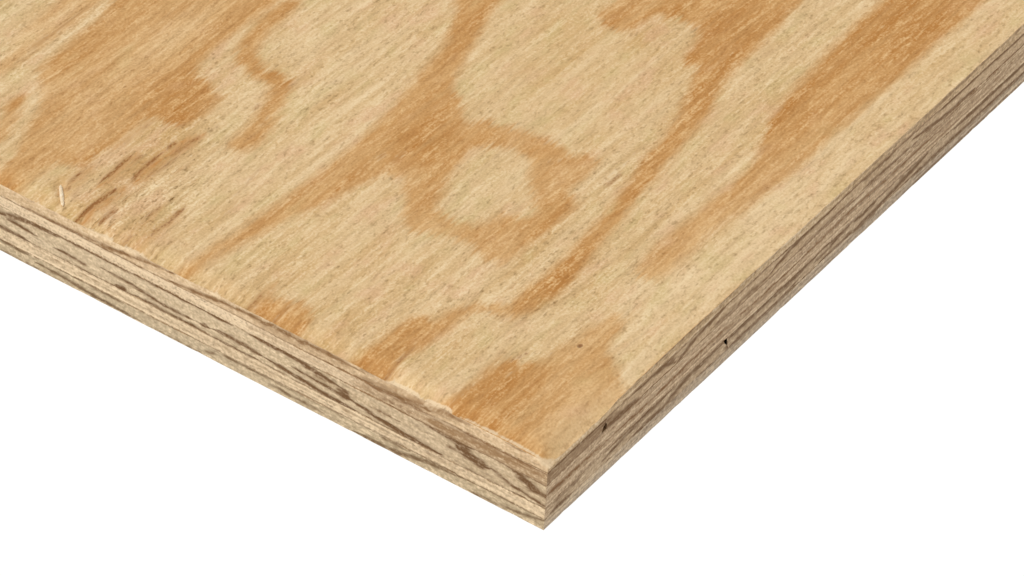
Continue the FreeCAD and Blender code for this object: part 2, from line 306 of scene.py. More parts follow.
# dark bands on the sawn edges: (darkness, half width, [(along the edge, depth), ...])
SHORT_EDGE_BANDS = {
    "face": [
        (0.5, 0.25, [(2, 1), (6, 1.05), (10, 1.1)]),
        (0.5, 0.4, [(18, 1.2), (24, 1.5), (28, 2.6), (32, 3), (37, 3.4), (46, 3.7)]),
        (0.3, 0.8, [(28, 2.9), (34, 3), (40, 3.3)]), (0.5, 0.3, [(41, 0.7), (45, 1.3)]),
        (0.75, 0.42, [(44, 1.6), (54, 1.5), (62, 1.8), (72, 1.7), (80, 2.1), (86, 2.9), (93, 3.4)]),
        (0.7, 0.35, [(91, 1), (98, 1.5), (104, 2.3), (108, 2.9), (114, 3.2), (122, 3.4), (129, 3.3)]),
    ],
    "upper": [
        (0.6, 0.25, [(0, 3.8), (12, 3.7), (20, 3.8)]), (0.5, 0.22, [(30, 4), (40, 4), (50, 3.9)]),
        (0.6, 0.28, [(88, 3.6), (104, 3.5), (122, 3.4), (139, 3.2)]),
        (0.5, 0.3, [(34.5, 4.5), (35.5, 6.4)]), (0.5, 0.3, [(36.5, 4.6), (37.2, 6.2)]),
        (0.4, 0.3, [(32, 4.8), (33, 6.2)]), (0.4, 0.25, [(38.7, 4.9), (39, 6.2)]),
    ],
    "core": [
        (0.95, 0.45, [(-1, 9.5), (3, 9.2), (5, 8.2)]),
        (0.95, 0.75, [(2, 9.3), (5, 8.1), (7, 7.1), (9, 6.7)]),
        (0.8, 0.3, [(-1, 12), (3, 11.7), (6, 11.2), (9, 10.7), (12, 9.7), (14, 9.3)]),
        (1, 0.95, [(14, 9.9), (17, 9.4), (19, 8.8), (21.5, 8)]),
        (0.95, 0.38, [(18, 7), (24, 7), (29, 6.8)]), (0.8, 0.4, [(22, 9.2), (23, 9.6)]),
        (0.4, 0.22, [(5, 12.5), (20, 12.6)]),
        (1, 0.38, [(25, 12.4), (32, 12.2), (36, 11.8), (40, 11.3), (47, 10.2)]),
        (0.95, 0.9, [(47.5, 9.7), (50, 9.2)]),
        (0.95, 0.42, [(49, 8.4), (56, 7.7), (60, 7), (64, 6.75), (72, 6.7)]),
        (0.5, 0.22, [(35, 9.4), (42, 9.4)]), (0.8, 0.25, [(46, 10.3), (54, 9.9), (62, 9.5)]),
        (0.95, 0.36, [(45, 12.5), (52, 12.2), (58, 11.7), (68, 10.7)]),
        (0.95, 0.36, [(69, 10.6), (76, 10.1), (81, 10.2)]), (0.9, 0.32, [(82, 10.4), (85, 10.5)]),
        (0.75, 0.32, [(86, 10.4), (91, 10.6), (97, 10.2), (103, 9.4), (110, 9.1)]),
        (0.6, 0.22, [(70, 12.2), (82, 12.2)]), (0.7, 0.25, [(84, 12), (92, 11.9), (101, 11.8)]),
        (0.9, 0.3, [(77, 6.7), (84, 6.4), (92, 6.4)]), (0.8, 0.28, [(88, 6.4), (126, 6.4)]),
        (0.9, 0.38, [(103.5, 11.9), (106.5, 11.6)]), (0.5, 0.22, [(112, 11.9), (124, 11.9)]),
        (0.7, 0.32, [(113, 10.5), (119, 10.2), (122, 10.2)]),
        (0.8, 0.5, [(121, 6.6), (129, 6.8), (133, 7.4), (139, 8.6)]),
        (0.85, 0.3, [(127, 9.4), (132, 9), (135, 8.8)]), (0.75, 0.3, [(129, 11.9), (139, 11.6)]),
    ],
    "lower": [
        (0.25, 0.3, [(0, 13.9), (40, 13.7), (90, 13.4), (138, 13.2)]),
        (0.12, 0.25, [(-1, 14.8), (40, 14.6), (90, 14.2), (138, 14)]),
    ],
    "back": [
        (0.65, 0.35, [(-1, 15.7), (4, 16.6), (8, 17.3), (12, 17.8), (18, 18)]),
        (0.85, 0.4, [(20, 15.7), (27, 16.1), (32, 16.9), (36, 17.7), (46, 18)]),
        (0.6, 0.32, [(33, 15.9), (40, 15.9)]), (0.25, 0.28, [(46, 15.7), (64, 15.7)]),
        (0.6, 0.28, [(62, 15.7), (72, 15.6), (81, 15.6)]), (0.6, 0.35, [(54, 17.3), (67, 17)]),
        (0.45, 0.45, [(80, 16.3), (84, 17.4)]), (0.6, 0.3, [(104, 15.5), (112, 15.3), (120, 15.2)]),
        # the lines at 18 mm darken the edge along its bottom arris
        (0.5, 0.25, [(84, 18), (97, 18)]), (0.5, 0.25, [(120, 18), (139, 18)]),
        (0.8, 0.32, [(100, 17.9), (112, 17.5), (120, 16.8), (127, 16.6)]),
        (0.8, 0.35, [(129, 15.5), (139, 15.3)]),
    ],
}
LONG_EDGE_BANDS = {
    "face": [
        (0.55, 0.34, [(11, 0.3), (22, 0.5), (40, 0.65), (60, 0.7), (82, 0.65)]),
        (0.3, 0.34, [(78, 0.65), (100, 0.9), (128, 0.8)]),
        (0.4, 0.34, [(136, 1.1), (150, 1), (160, 0.8), (184, 0.6)]),
        (0.6, 0.34, [(26, 2.8), (36, 2.85), (48, 2.9), (58, 2.6), (72, 2.4), (80, 2.4)]),
        (0.5, 0.3, [(96, 2.8), (104, 2.7), (112, 2.5), (128, 2.6), (142, 2.6)]),
    ],
    "upper": [
        (0.7, 0.4, [(-1, 3.5), (14, 3.4), (19, 3.3)]), (0.95, 0.6, [(20.5, 5.6), (26, 5.8), (32, 6)]),
        (0.9, 0.57, [(20.4, 3.3), (20.1, 4.6)]), (0.95, 0.42, [(30, 3.2), (36, 3.2), (41, 3.6), (45, 5.6)]),
        (0.6, 0.25, [(42.5, 3.2), (45.5, 4.6)]), (0.85, 0.48, [(45, 5.9), (50, 4.2), (54, 3.3), (62, 2.8)]),
        (0.6, 0.48, [(57, 5.4), (68, 5.2), (80, 5.2)]),
        (0.8, 0.44, [(79, 5), (84, 4), (90, 3.1), (104, 2.9)]),
        (0.6, 0.44, [(90, 5.9), (104, 5.6), (111, 5.5)]), (0.6, 0.37, [(114, 3), (127, 3)]),
        (0.75, 0.4, [(114, 5.5), (120, 5.5), (128, 5.7), (137, 6.1)]),
        (0.9, 0.44, [(134, 4.3), (140, 5), (147, 6), (160, 6.1)]),
        (0.8, 0.34, [(144, 3.1), (158, 3.1), (184, 3.3)]),
    ],
    "core": [
        (0.95, 0.4, [(-1, 9.4), (14, 9.4), (22, 9.55)]),
        (0.8, 0.36, [(18, 9.6), (30, 9.65), (40, 9.55), (50, 9.2), (60, 9.05), (84, 9.3), (92, 9)]),
        (0.75, 0.36, [(88, 9.1), (100, 8.8), (116, 8.5), (126, 8.85), (144, 8.8)]),
        (0.4, 0.3, [(140, 9), (158, 9.3), (184, 9.2)]), (0.6, 0.3, [(22, 6.4), (33, 6.4)]),
        (0.7, 0.34, [(146, 6.3), (158, 6.5), (170, 6.4), (184, 6.4)]),
        (0.3, 0.23, [(0, 7.6), (90, 7.4), (184, 7.3)]),
        (0.3, 0.21, [(0, 10.7), (90, 10.6), (130, 11), (184, 10.9)]),
    ],
    "lower": [
        (0.5, 0.52, [(3, 13.1), (12, 12.9)]), (0.85, 0.44, [(2, 15.2), (9, 15.2)]),
        (0.75, 0.48, [(20, 14.2), (28, 13.1), (35, 12.6), (42, 12.4)]),
        (0.85, 0.48, [(30, 15.1), (41, 15), (45, 14), (50, 13), (62, 12.6)]),
        (0.9, 0.46, [(62, 12.6), (72, 12.6), (80, 12.5), (90, 12.7), (98, 12.5)]),
        (0.85, 0.57, [(64.3, 13.9), (64.9, 15.2)]),
        (0.75, 0.4, [(65, 15.2), (76, 15.3), (86, 15.2), (92, 14.3)]),
        (0.65, 0.4, [(97, 13.7), (101, 13.6), (106, 13)]),
        (0.65, 0.4, [(99, 15.3), (106, 15.1), (113, 15)]), (0.6, 0.37, [(103, 12.5), (111, 12.5)]),
        (0.9, 0.41, [(112, 12.7), (121, 12.8)]),
        (0.95, 0.53, [(113, 15.2), (121, 15), (127, 14.3), (134, 13.5), (142, 12.7)]),
        (0.95, 0.4, [(131, 15.3), (145, 15.25), (160, 15.25), (184, 15.3)]),
        (0.8, 0.3, [(138, 15.3), (145, 15.35), (184, 15.4)]),
        (0.95, 0.48, [(152, 12.6), (184, 12.6)]),
    ],
    "back": [
        (0.8, 0.4, [(-1, 15.6), (9, 15.6)]), (0.6, 0.35, [(64, 15.5), (76, 15.7), (90, 15.5)]),
        (0.85, 0.4, [(112, 15.6), (122, 15.5)]), (0.95, 0.3, [(136, 15.5), (160, 15.5), (184, 15.55)]),
        # the lines at about 17.9 mm darken the edge along its bottom arris
        (0.7, 0.3, [(132, 17.9), (146, 17.85), (166, 17.85), (184, 17.9)]),
        (0.3, 0.25, [(84, 17.9), (120, 17.85)]), (0.3, 0.23, [(0, 16.6), (184, 16.6)]),
    ],
}

# broad stains on the sawn edges, drawn like the bands; the back's line at 17.8 mm only darkens the edge
# along its bottom arris
SHORT_EDGE_STAINS = {
    "core": [(0.2, 3.6, [(-8, 9.2), (56, 9.2)])],
    "face": [(0.5, 1, [(20, 1.2), (28, 1.7), (36, 2.6), (46, 3.3)]), (0.35, 1.2, [(48, 1.9), (72, 2.1)])],
    "upper": [
        (0.9, 1.9, [(-6, 5.2), (28, 5.2)]), (0.6, 1.9, [(22, 5.2), (34, 5.2), (46, 5.3)]),
        (0.35, 1.7, [(42, 5), (56, 5.1), (72, 5)]),
    ],
}
LONG_EDGE_STAINS = {
    "upper": [(1, 1.9, [(-6, 4.8), (8, 4.8), (24, 4.7)])],
    "core": [(0.4, 3.4, [(136, 8), (190, 8)])],
    "back": [(0.4, 0.7, [(0, 17.8), (190, 17.8)])],
}

# how far each glue line strays from its level at places along the two near edges, in mm downwards
GLUE_STRAYS = {
    "face_upper": {"v": [(0, 0.5), (20, 0.6), (55, 0.8), (95, 0.6), (140, 0.6)],
                   "u": [(0, 0.5), (10, 0.3), (44, 0.1), (58, -0.4), (76, -0.5), (100, -0.2),
                         (140, -0.3), (150, 0), (185, 0.2)]},
    "upper_core": {"v": [(0, 0.5), (20, 0.6), (50, 0.3), (95, 0.1), (140, 0.1)],
                   "u": [(0, 0.5), (10, 0.1), (60, -0.1), (140, 0), (160, 0.2), (185, 0.1)]},
    "core_lower": {"v": [(0, 0.6), (20, 0.7), (50, 0.5), (95, 0.1), (140, 0)],
                   "u": [(0, 0.6), (14, 0.2), (60, 0), (185, 0.1)]},
    "lower_back": {"v": [(0, 0.2), (50, 0.1), (140, -0.2)],
                   "u": [(0, 0.2), (60, 0.1), (185, 0.15)]},
}

# ---------------------------------------------------------------- veneer meshes

NEAR_STEP = {"u": 1.0, "v": 1.0}  # mesh spacing near the corner
FACE_STEP = {"u": 1.5, "v": 0.5}  # the same on the face, whose grain runs along u
FAR_STEP = 70.0  # the widest spacing, far from it
GROWTH = 1.2  # how much longer than the last one each step is, once past the near part
FINE_STATIONS = [0, 0.3, 0.7, 1.2, 2.0]  # the first mesh lines, next to the near edges
FINE_STRETCH = {"u": (2.0, 10.0), "v": (111.0, 127.0)}  # half the spacing, at the splinter and tears
NO_STRETCH = {"u": (0.0, 0.0), "v": (0.0, 0.0)}
ROW_HEIGHT = 0.2  # of the mesh on the sawn edges
RIM = 4.0  # how far a hidden face's rim reaches in before it is flat
SAW_DEPTH = 0.16  # how deep the saw bit into the near edges
WEAR_REACH = 3.0  # how far in from an arris its wear moves the mesh
DROP_REACH = 0.6 * WEAR_REACH  # how far in it also lowers the top
WEAR_DROP = 0.65  # how far it lowers the arris for each mm that it sets it back
BARE_DROP = (0.08, 0.35)  # the drops at which its wood starts to look bare, and looks fully bare
SAG_REACH = 5.0  # how far in from a blunt arris the face is pressed down
# painted shading on the pressed slopes: darker where the short arris's slope faces the lamp, paler where the
# long one's faces away
SAG_PAINTED_SHADING = {"short": 0.5, "long": -0.4}  # how much darker the wood is for each mm of that
# how far down it is pressed at places along each near arris, in mm
ARRIS_SAG = {
    "short": [(0, 1.2), (8, 0.7), (20, 0.7), (28, 1.1), (38, 1.1), (45, 0.8), (140, 0.7), (300, 0)],
    "long": [(0, 1.6), (6, 2.1), (17, 1.9), (28, 0.8), (40, 0.4), (180, 0.2), (300, 0)],
}
GLUE_WIDTH = 0.35  # how far from a glue line its stain reaches
GAP_SMEAR = 2.5  # how far into a core gap the saw dragged its walls' fibres
TEAR_DEPTH = 0.14  # how deep the worst tear in the face is
SHARP_ANGLE = 40.0  # in degrees: where two faces meet at more than this, the mesh isn't smooth
FIGURE_DEPTH = 12.0  # how far from the latewood's outline distances from it are worked out
TAPER = (-0.08, 0.2)  # from which share of a drawn line's length to which it widens, from either end

# a veneer's material slots
TOP, UNDERSIDE, LONG_EDGE, SHORT_EDGE, GAP_WALL, SLIVER = range(6)


def stations(start, stop, reach, step, fine):
    """Mesh lines from start to stop: close together up to reach, then further and further apart."""
    lines = [start + line for line in FINE_STATIONS]
    halved = step / 2
    while lines[-1] + 1.5 * step < stop:
        lines.append(lines[-1] + step)
        if lines[-1] > reach:
            step = min(step * GROWTH, FAR_STEP)
    halves = [line + halved for line in lines if fine[0] <= line < fine[1]]
    return np.array(sorted(lines + halves) + [stop])


def glue_stray(name, u, v):
    """How far a glue line strays from its level at a place on the panel's rim."""
    if name is None:
        return np.zeros(len(u))
    drawn = GLUE_STRAYS[name]
    seed = list(GLUE_STRAYS).index(name)
    by_u = np.interp(u, *zip(*drawn["u"]))
    by_v = np.interp(v, *zip(*drawn["v"]))
    on_short_edge = ease(v, 0, 6) * (u < 1)
    near = by_u * (1 - on_short_edge) + by_v * on_short_edge
    # elsewhere the line wanders by 0.3 mm over some 90 mm, and by 0.12 mm over some 23 mm
    wild = 0.3 * value_noise(u / 90 + 7, v / 90, seed) + 0.12 * value_noise(u / 23, v / 23 + 9, seed)
    # what is drawn holds near the corner, with a ripple of 0.06 mm
    held = nearness(u, v, BAND_REACH)
    return near * held + wild * (1 - held) + 0.06 * value_noise(u / 4, v / 4, seed + 20) * held


def drawn_lines(lines, points):
    """How strong the drawn lines are at each point, from 0 to 1. They taper to their ends."""
    bare = np.ones(len(points))
    for strength, half_width, line in lines:
        close, away, share = near_curve(points, smooth_curve(line), 4 * half_width + 0.1)
        width = 2 * half_width * ease(np.minimum(share, 1 - share), *TAPER) + 0.05
        middle, shoulder = fade(away, 0, width), fade(away, 0, 2 * width)
        bare[close] *= 1 - strength * (0.65 * middle + 0.35 * shoulder)
    return 1 - bare


def figure_field(u, v):
    """Millimetres into the dark latewood, negative in the light wood, drawn near the corner."""
    points = np.column_stack([u, v])
    field = np.full(len(points), -FIGURE_DEPTH)

    def signed(outline):
        """Millimetres into one closed outline, negative outside it."""
        curve = smooth_curve(outline, closed=True)
        close, away, _ = near_curve(points, curve, FIGURE_DEPTH)
        result = np.full(len(points), -FIGURE_DEPTH)
        result[close] = np.where(inside(points[close], curve), away, -away)
        return result

    for outline in LATEWOOD.values():
        field = np.maximum(field, signed(outline))
    field = np.minimum(field, -signed(ISLAND))
    for half_width, line in CURLS:
        close, away, _ = near_curve(points, smooth_curve(line), FIGURE_DEPTH)
        field[close] = np.maximum(field[close], half_width - away)
    return np.clip(field, -FIGURE_DEPTH, FIGURE_DEPTH)


def soft_spots(spots, u, v):
    """The sum of soft oval spots at each point: what TONES and ROUGH list."""
    field = np.zeros(len(u))
    for at_u, at_v, reach_u, reach_v, change in spots:
        field += change * np.exp(-(((u - at_u) / reach_u) ** 2) - ((v - at_v) / reach_v) ** 2)
    return field


def short_arris_loss(v):
    """How far the face's arris along the short edge is set back by wear, in mm."""
    splintered = np.maximum(0, line_noise(v, 2.3, 31) - 0.1)
    coarse = np.maximum(0, line_noise(v + 27, 9, 32))
    worn = 0.08 + 0.3 * splintered + 0.2 * coarse + 0.9 * torn_arris(v) + corner_wear(v)
    return worn * fade(v, 200, 300)


def corner_wear(along):
    """How much further an arris is set back next to the panel's corner, in mm."""
    return 0.45 * fade(along, 0.5, 4.5)


def torn_arris(v):
    """How badly the face's arris along the short edge is torn, from 0 to 1."""
    ragged = 0.75 + 0.5 * line_noise(v, 1.9, 34)
    return ease(v, 20, 26) * fade(v, 33, 42) * ragged


def cream_arris(u, v):
    """How much paler the top is next to the short edge's arris, from 0 to 1."""
    reach = 1.3 + 0.5 * line_noise(v, 3.5, 35)
    strip = 0.8 * fade(u, 0.5 * reach, reach) * fade(v, 19, 25)
    return np.maximum(strip, 0.9 * fade(np.hypot(u, v), 1.5, 3.2))


def long_arris_loss(u):
    """How far the face's arris along the long edge is set back by wear, in mm."""
    splintered = np.maximum(0, line_noise(u, 3.1, 33) - 0.2)
    rounded = 0.2 * fade(u, 14, 24)
    return (0.06 + 0.2 * splintered + rounded + corner_wear(u)) * fade(u, 250, 350)


def sags(u, v):
    """How far the face is pressed down next to its blunt short arris and its long one, in mm."""
    return [
        np.interp(along, *zip(*ARRIS_SAG[arris])) * fade(inwards, 0, SAG_REACH)
        for arris, along, inwards in (("short", v, u), ("long", u, v))
    ]


def wear(u, v):
    """How wear moves the top of the face near its arrises: along u, along v and down, in mm."""
    short, long = short_arris_loss(v), long_arris_loss(u)
    drops = [loss * fade(side, 0, DROP_REACH) for loss, side in ((short, u), (long, v))]
    along_u, along_v = short * np.maximum(0, 1 - u / WEAR_REACH), long * np.maximum(0, 1 - v / WEAR_REACH)
    return along_u, along_v, WEAR_DROP * np.maximum(*drops)


def splinter_bed(u, v):
    """How deep the hollow is that the splinter lies in, in mm."""
    line = np.array([SPLINTER["start"], SPLINTER["stop"]])
    _, away, _ = near_curve(np.column_stack([u, v]), line)
    return BED_DEPTH * fade(away, *BED_REACH)


def smeared(ply, v, rise):
    """How much of a core gap the fibres close where the saw cut it, from 0 to nearly 1."""
    if ply == "upper":
        closed = 0.05 + 0.9 * ease(rise, 0.42, 0.6)
    else:
        closed = 0.95 - 0.85 * ease(rise, 0.35, 0.6)
    return closed * fade(v, 0.3, GAP_SMEAR)


def saw_bite(u, v, depth, seed):
    """How far a sawn edge lies inside the panel's outline, in mm."""
    along = u + v
    fine = value_noise(along / 1.7, depth / 0.45, seed)
    coarse = value_noise(along / 7, depth / 1.3, seed + 5)
    return SAW_DEPTH * np.maximum(0, 0.6 * fine + 0.4 * coarse) * nearness(u, v, BAND_REACH)


class Veneer:
    """The points and faces of one veneer's closed mesh, with what its materials read from them."""

    def __init__(self, ply, outline, levels, glue, half_gaps):
        (self.foot_start, self.foot_stop), (self.head_start, self.head_stop) = outline
        self.ply, self.levels, self.glue, self.half_gaps = ply, levels, glue, half_gaps
        self.figured = ply == "face"
        step, fine = (FACE_STEP, FINE_STRETCH) if self.figured else (NEAR_STEP, NO_STRETCH)
        self.us = stations(self.foot_start, self.foot_stop, FIGURE_REACH["u"][0], step["u"], fine["u"])
        self.vs = stations(0.0, WIDTH, FIGURE_REACH["v"][0], step["v"], fine["v"])
        self.points, self.faces, self.zones = [], [], []
        self.values = {name: [] for name in ("band", "stain", "glue", "worn", "torn")}
        self.count = 0
        self._sides()
        self._close(0, levels[1], UNDERSIDE)
        if self.figured:
            self._grid()
            self._splinter()
        else:
            self._close(self.rows - 1, levels[0], TOP)

    def _add(self, points, **values):
        """Adds points, with 0 for each value that isn't given."""
        self.points.append(points)
        for name, kept in self.values.items():
            kept.append(values.get(name, np.zeros(len(points))))
        self.count += len(points)

    def _sides(self):
        """The sawn edges, row by row from the foot to the head, anticlockwise from the corner."""
        nu, nv = len(self.us), len(self.vs)
        around = [(i, 0) for i in range(nu)] + [(nu - 1, j) for j in range(1, nv)]
        around += [(i, nv - 1) for i in range(nu - 2, -1, -1)]
        around += [(0, j) for j in range(nv - 2, 0, -1)]
        self.around = around = np.array(around)
        self.rim = len(around)
        rim_u, rim_v = self.us[around[:, 0]], self.vs[around[:, 1]]
        at_start, at_stop = around[:, 0] == 0, around[:, 0] == nu - 1
        outer_start, outer_stop = self.foot_start < 1, self.foot_stop > LENGTH - 1
        into_u = at_start * outer_start * 1.0 - at_stop * outer_stop
        into_v = (around[:, 1] == 0) * 1.0 - (around[:, 1] == nv - 1)
        slant = at_start * (self.head_start - self.foot_start) + at_stop * (self.head_stop - self.foot_stop)

        head = self.levels[0] + glue_stray(self.glue[0], rim_u, rim_v)
        foot = self.levels[1] + glue_stray(self.glue[1], rim_u, rim_v)
        worn_u, worn_v, drop, pressed = np.zeros((4, self.rim))
        if self.figured:
            worn_u, worn_v, drop = wear(rim_u, rim_v)
            pressed = np.maximum(*sags(rim_u, rim_v))
        seed = 100 + 10 * list(SHORT_EDGE_BANDS).index(self.ply)
        kinds = {"band": (LONG_EDGE_BANDS, SHORT_EDGE_BANDS), "stain": (LONG_EDGE_STAINS, SHORT_EDGE_STAINS)}
        self.rows = round((self.levels[1] - self.levels[0]) / ROW_HEIGHT) + 1
        for rise in np.linspace(0, 1, self.rows):
            before, after = [at_foot + (at_head - at_foot) * rise for at_foot, at_head in self.half_gaps]
            smear = (at_stop * after - at_start * before) * smeared(self.ply, rim_v, rise)
            u = rim_u + rise * slant + smear
            depth = foot + (head + drop + pressed - foot) * rise
            bite = saw_bite(u, rim_v, depth, seed)
            near_head = ease(rise, 0.7, 1)
            points = np.column_stack([
                u + into_u * bite + worn_u * near_head, rim_v + into_v * bite + worn_v * near_head, depth])
            to_glue = np.full(self.rim, np.inf)
            if self.glue[0]:
                to_glue = np.minimum(to_glue, depth - head)
            if self.glue[1]:
                to_glue = np.minimum(to_glue, foot - depth)
            self._add(
                points,
                **{kind: self._drawn(*edges, u, rim_v, depth) for kind, edges in kinds.items()},
                glue=fade(to_glue, 0, GLUE_WIDTH),
                worn=ease(drop, *BARE_DROP) * ease(rise, 0.7, 0.97),
            )

        row_zones = self._side_zones(outer_start, outer_stop)
        for row in range(self.rows - 1):
            self._bridge(row * self.rim, (row + 1) * self.rim, self.rim)
            self.zones.append(row_zones)

    def _side_zones(self, outer_start, outer_stop):
        """The slot of each quad round the veneer. An end inside the panel is a core gap's wall."""
        zones = np.full(self.rim, SHORT_EDGE)
        sides = [(1, 0, LONG_EDGE), (1, len(self.vs) - 1, LONG_EDGE)]
        sides += [(0, 0, GAP_WALL)] * (not outer_start)
        sides += [(0, len(self.us) - 1, GAP_WALL)] * (not outer_stop)
        for axis, place, zone in sides:
            on_side = self.around[:, axis] == place
            zones[on_side & np.roll(on_side, -1)] = zone
        return zones

    def _drawn(self, on_long, on_short, u, v, depth):
        """How strong what is drawn on the near edges is at each place round them, from 0 to 1."""
        strength = np.zeros(self.rim)
        for edge, along, axis in ((on_long, u, 1), (on_short, v, 0)):
            chosen = (self.around[:, axis] == 0) & (along < BAND_REACH["u"][1])
            places = np.column_stack([along, depth])[chosen]
            strength[chosen] = drawn_lines(edge.get(self.ply, []), places)
        return strength

    def _bridge(self, low, high, count, turned=False):
        """Joins two rings of points with quads, which face the other way if turned."""
        for k in range(count):
            after = (k + 1) % count
            quad = (low + k, low + after, high + after, high + k)
            self.faces.append(quad[::-1] if turned else quad)

    def _close(self, row, depth, zone):
        """Closes the underside or the top with a rim and a flat face."""
        outer, inner = row * self.rim, self.count
        middle = np.array([(self.foot_start + self.foot_stop) / 2, WIDTH / 2])
        half = np.array([(self.foot_stop - self.foot_start) / 2, WIDTH / 2])
        flat = middle + (self.points[row][:, :2] - middle) * (1 - RIM / half)
        self._add(np.column_stack([flat, np.full(self.rim, depth)]))
        self._bridge(outer, inner, self.rim, turned=zone == UNDERSIDE)
        self.faces.append(tuple(range(inner, inner + self.rim))[:: 1 if zone == TOP else -1])
        self.zones.append(np.full(self.rim + 1, zone))

    def _grid(self):
        """The top of a figured veneer, a full grid with its worn arrises and the splinter's bed."""
        nu, nv = len(self.us), len(self.vs)
        grid = np.full((nu, nv), -1)
        grid[self.around[:, 0], self.around[:, 1]] = (self.rows - 1) * self.rim + np.arange(self.rim)
        u, v = [side.ravel() for side in np.meshgrid(self.us[1:-1], self.vs[1:-1], indexing="ij")]
        grid[1:-1, 1:-1] = self.count + np.arange(u.size).reshape(nu - 2, nv - 2)
        along_u, along_v, down = wear(u, v)
        pressed = np.maximum(*sags(u, v))
        u, v = u + along_u, v + along_v
        near = np.column_stack([u, v])
        torn = drawn_lines(TEARS, near)
        # here the bands are the bruises and painted shade beside the tears, and the stain is where the arris
        # is torn out
        depth = self.levels[0] + np.maximum(down + pressed, splinter_bed(u, v)) + TEAR_DEPTH * torn
        self._add(
            np.column_stack([u, v, depth]),
            torn=torn,
            band=drawn_lines(BRUISES_AND_SHADE, near),
            worn=np.maximum(ease(down, *BARE_DROP), cream_arris(u, v)),
            stain=torn_arris(v) * fade(u, 0.4, 2.2),
        )
        quads = np.stack([grid[:-1, :-1], grid[1:, :-1], grid[1:, 1:], grid[:-1, 1:]], -1)
        self.faces += [tuple(quad) for quad in quads.reshape(-1, 4).tolist()]
        self.zones.append(np.full((nu - 1) * (nv - 1), TOP))

    def _splinter(self):
        """The splinter, a thin sliver that tapers to a point at both ends."""
        start, stop = np.array(SPLINTER["start"]), np.array(SPLINTER["stop"])
        width, height = SPLINTER["width"], SPLINTER["height"]
        along = (stop - start) / np.linalg.norm(stop - start)
        across = np.array([-along[1], along[0]])
        sides, rings, first = SPLINTER_SIDES, SPLINTER_RINGS, self.count
        turns = np.arange(sides) * 2 * math.pi / sides
        for share in np.linspace(0, 1, rings + 2)[1:-1]:
            swell = math.sin(math.pi * share) ** 0.3
            flat = start + (stop - start) * share + np.outer(np.cos(turns) * swell * width / 2, across)
            up = np.sin(turns) * swell * height / 2
            self._add(np.column_stack([flat, self.levels[0] + height / 2 + SPLINTER["sunk"] - up]))
        tips = np.vstack([start, stop])
        self._add(np.column_stack([tips, np.full(2, self.levels[0] + height / 2)]))
        last = first + (rings - 1) * sides
        for ring in range(first, last, sides):
            self._bridge(ring, ring + sides, sides)
        for side in range(sides):
            after = (side + 1) % sides
            self.faces.append((first + after, first + side, self.count - 2))
            self.faces.append((last + side, last + after, self.count - 1))
        self.zones.append(np.full(sides * (rings + 1), SLIVER))

    def build(self, name, materials):
        """The veneer as an object with its materials, attributes and bake map."""
        points = np.vstack(self.points)
        zones = np.concatenate(self.zones)
        mesh = bpy.data.meshes.new(name)
        mesh.from_pydata((points * [MM, MM, -MM] + np.array(CORNER)).tolist(), [], self.faces)
        for material in materials:
            mesh.materials.append(material)
        mesh.polygons.foreach_set("material_index", zones.astype(np.int32))
        u, v, _ = points.T
        values = {kind: np.concatenate(parts) for kind, parts in self.values.items()}
        values["band_near"] = nearness(u, v, BAND_REACH)
        if self.figured:
            near = nearness(u, v, FIGURE_REACH)
            drawn = near > 0
            values["figure"], values["tone"], values["rough"] = np.zeros((3, len(u)))
            values["figure"][drawn] = figure_field(u[drawn], v[drawn])
            # how fast the figure changes along the grain
            values["lean"] = np.zeros(len(u))
            values["lean"][drawn] = figure_field(u[drawn] + 1, v[drawn]) - values["figure"][drawn]
            by_short, by_long = sags(u[drawn], v[drawn])
            tone = soft_spots(TONES, u[drawn], v[drawn])
            # painted shading, which cancels the lamp's extra light on the short slope and the shade on the
            # long one
            tone += SAG_PAINTED_SHADING["short"] * by_short + SAG_PAINTED_SHADING["long"] * by_long
            values["tone"][drawn] = tone
            values["rough"][drawn] = soft_spots(ROUGH, u[drawn], v[drawn])
            values["figure_near"] = near
        for kind, numbers in values.items():
            attribute = mesh.attributes.new(kind, "FLOAT", "POINT")
            attribute.data.foreach_set("value", numbers.astype(np.float32))
        lay_out(mesh, points, zones, self)
        mesh.shade_smooth()
        mesh.set_sharp_from_angle(angle=math.radians(SHARP_ANGLE))
        return put(name, mesh)


# ---------------------------------------------------------------- bake map

# Where each part of a veneer lies on its bake map: left, bottom, right, top. The near patches are
# the ones next to the corner, which get more room for their size than the rest.
NEAR_PATCH = (190.0, 180.0)  # how far they reach along u and along v
SHOWN_LAYOUT = {
    "sheet": (0.01, 0.01, 0.99, 0.49),
    "sheet_near": (0.01, 0.51, 0.49, 0.99),
    "long_near": (0.51, 0.515, 0.99, 0.57),
    "short_near": (0.51, 0.585, 0.99, 0.64),
    "long_rest": (0.51, 0.655, 0.99, 0.69),
    "long_far": (0.51, 0.705, 0.99, 0.74),
    "short_rest": (0.51, 0.755, 0.99, 0.79),
    "short_far": (0.51, 0.805, 0.99, 0.84),
    "hidden": (0.51, 0.86, 0.9, 0.99),
    "sliver": (0.92, 0.86, 0.99, 0.99),
}
GLUED_LAYOUT = {
    "hidden": (0.01, 0.01, 0.49, 0.15),
    "hidden_other": (0.51, 0.01, 0.99, 0.15),
    "long_near": (0.01, 0.18, 0.99, 0.3),
    "short_near": (0.01, 0.33, 0.99, 0.45),
    "long_rest": (0.01, 0.48, 0.99, 0.56),
    "long_far": (0.01, 0.59, 0.99, 0.67),
    "short_rest": (0.01, 0.7, 0.99, 0.78),
    "short_far": (0.01, 0.81, 0.99, 0.89),
    "gap_start": (0.01, 0.91, 0.99, 0.94),
    "gap_stop": (0.01, 0.96, 0.99, 0.99),
}


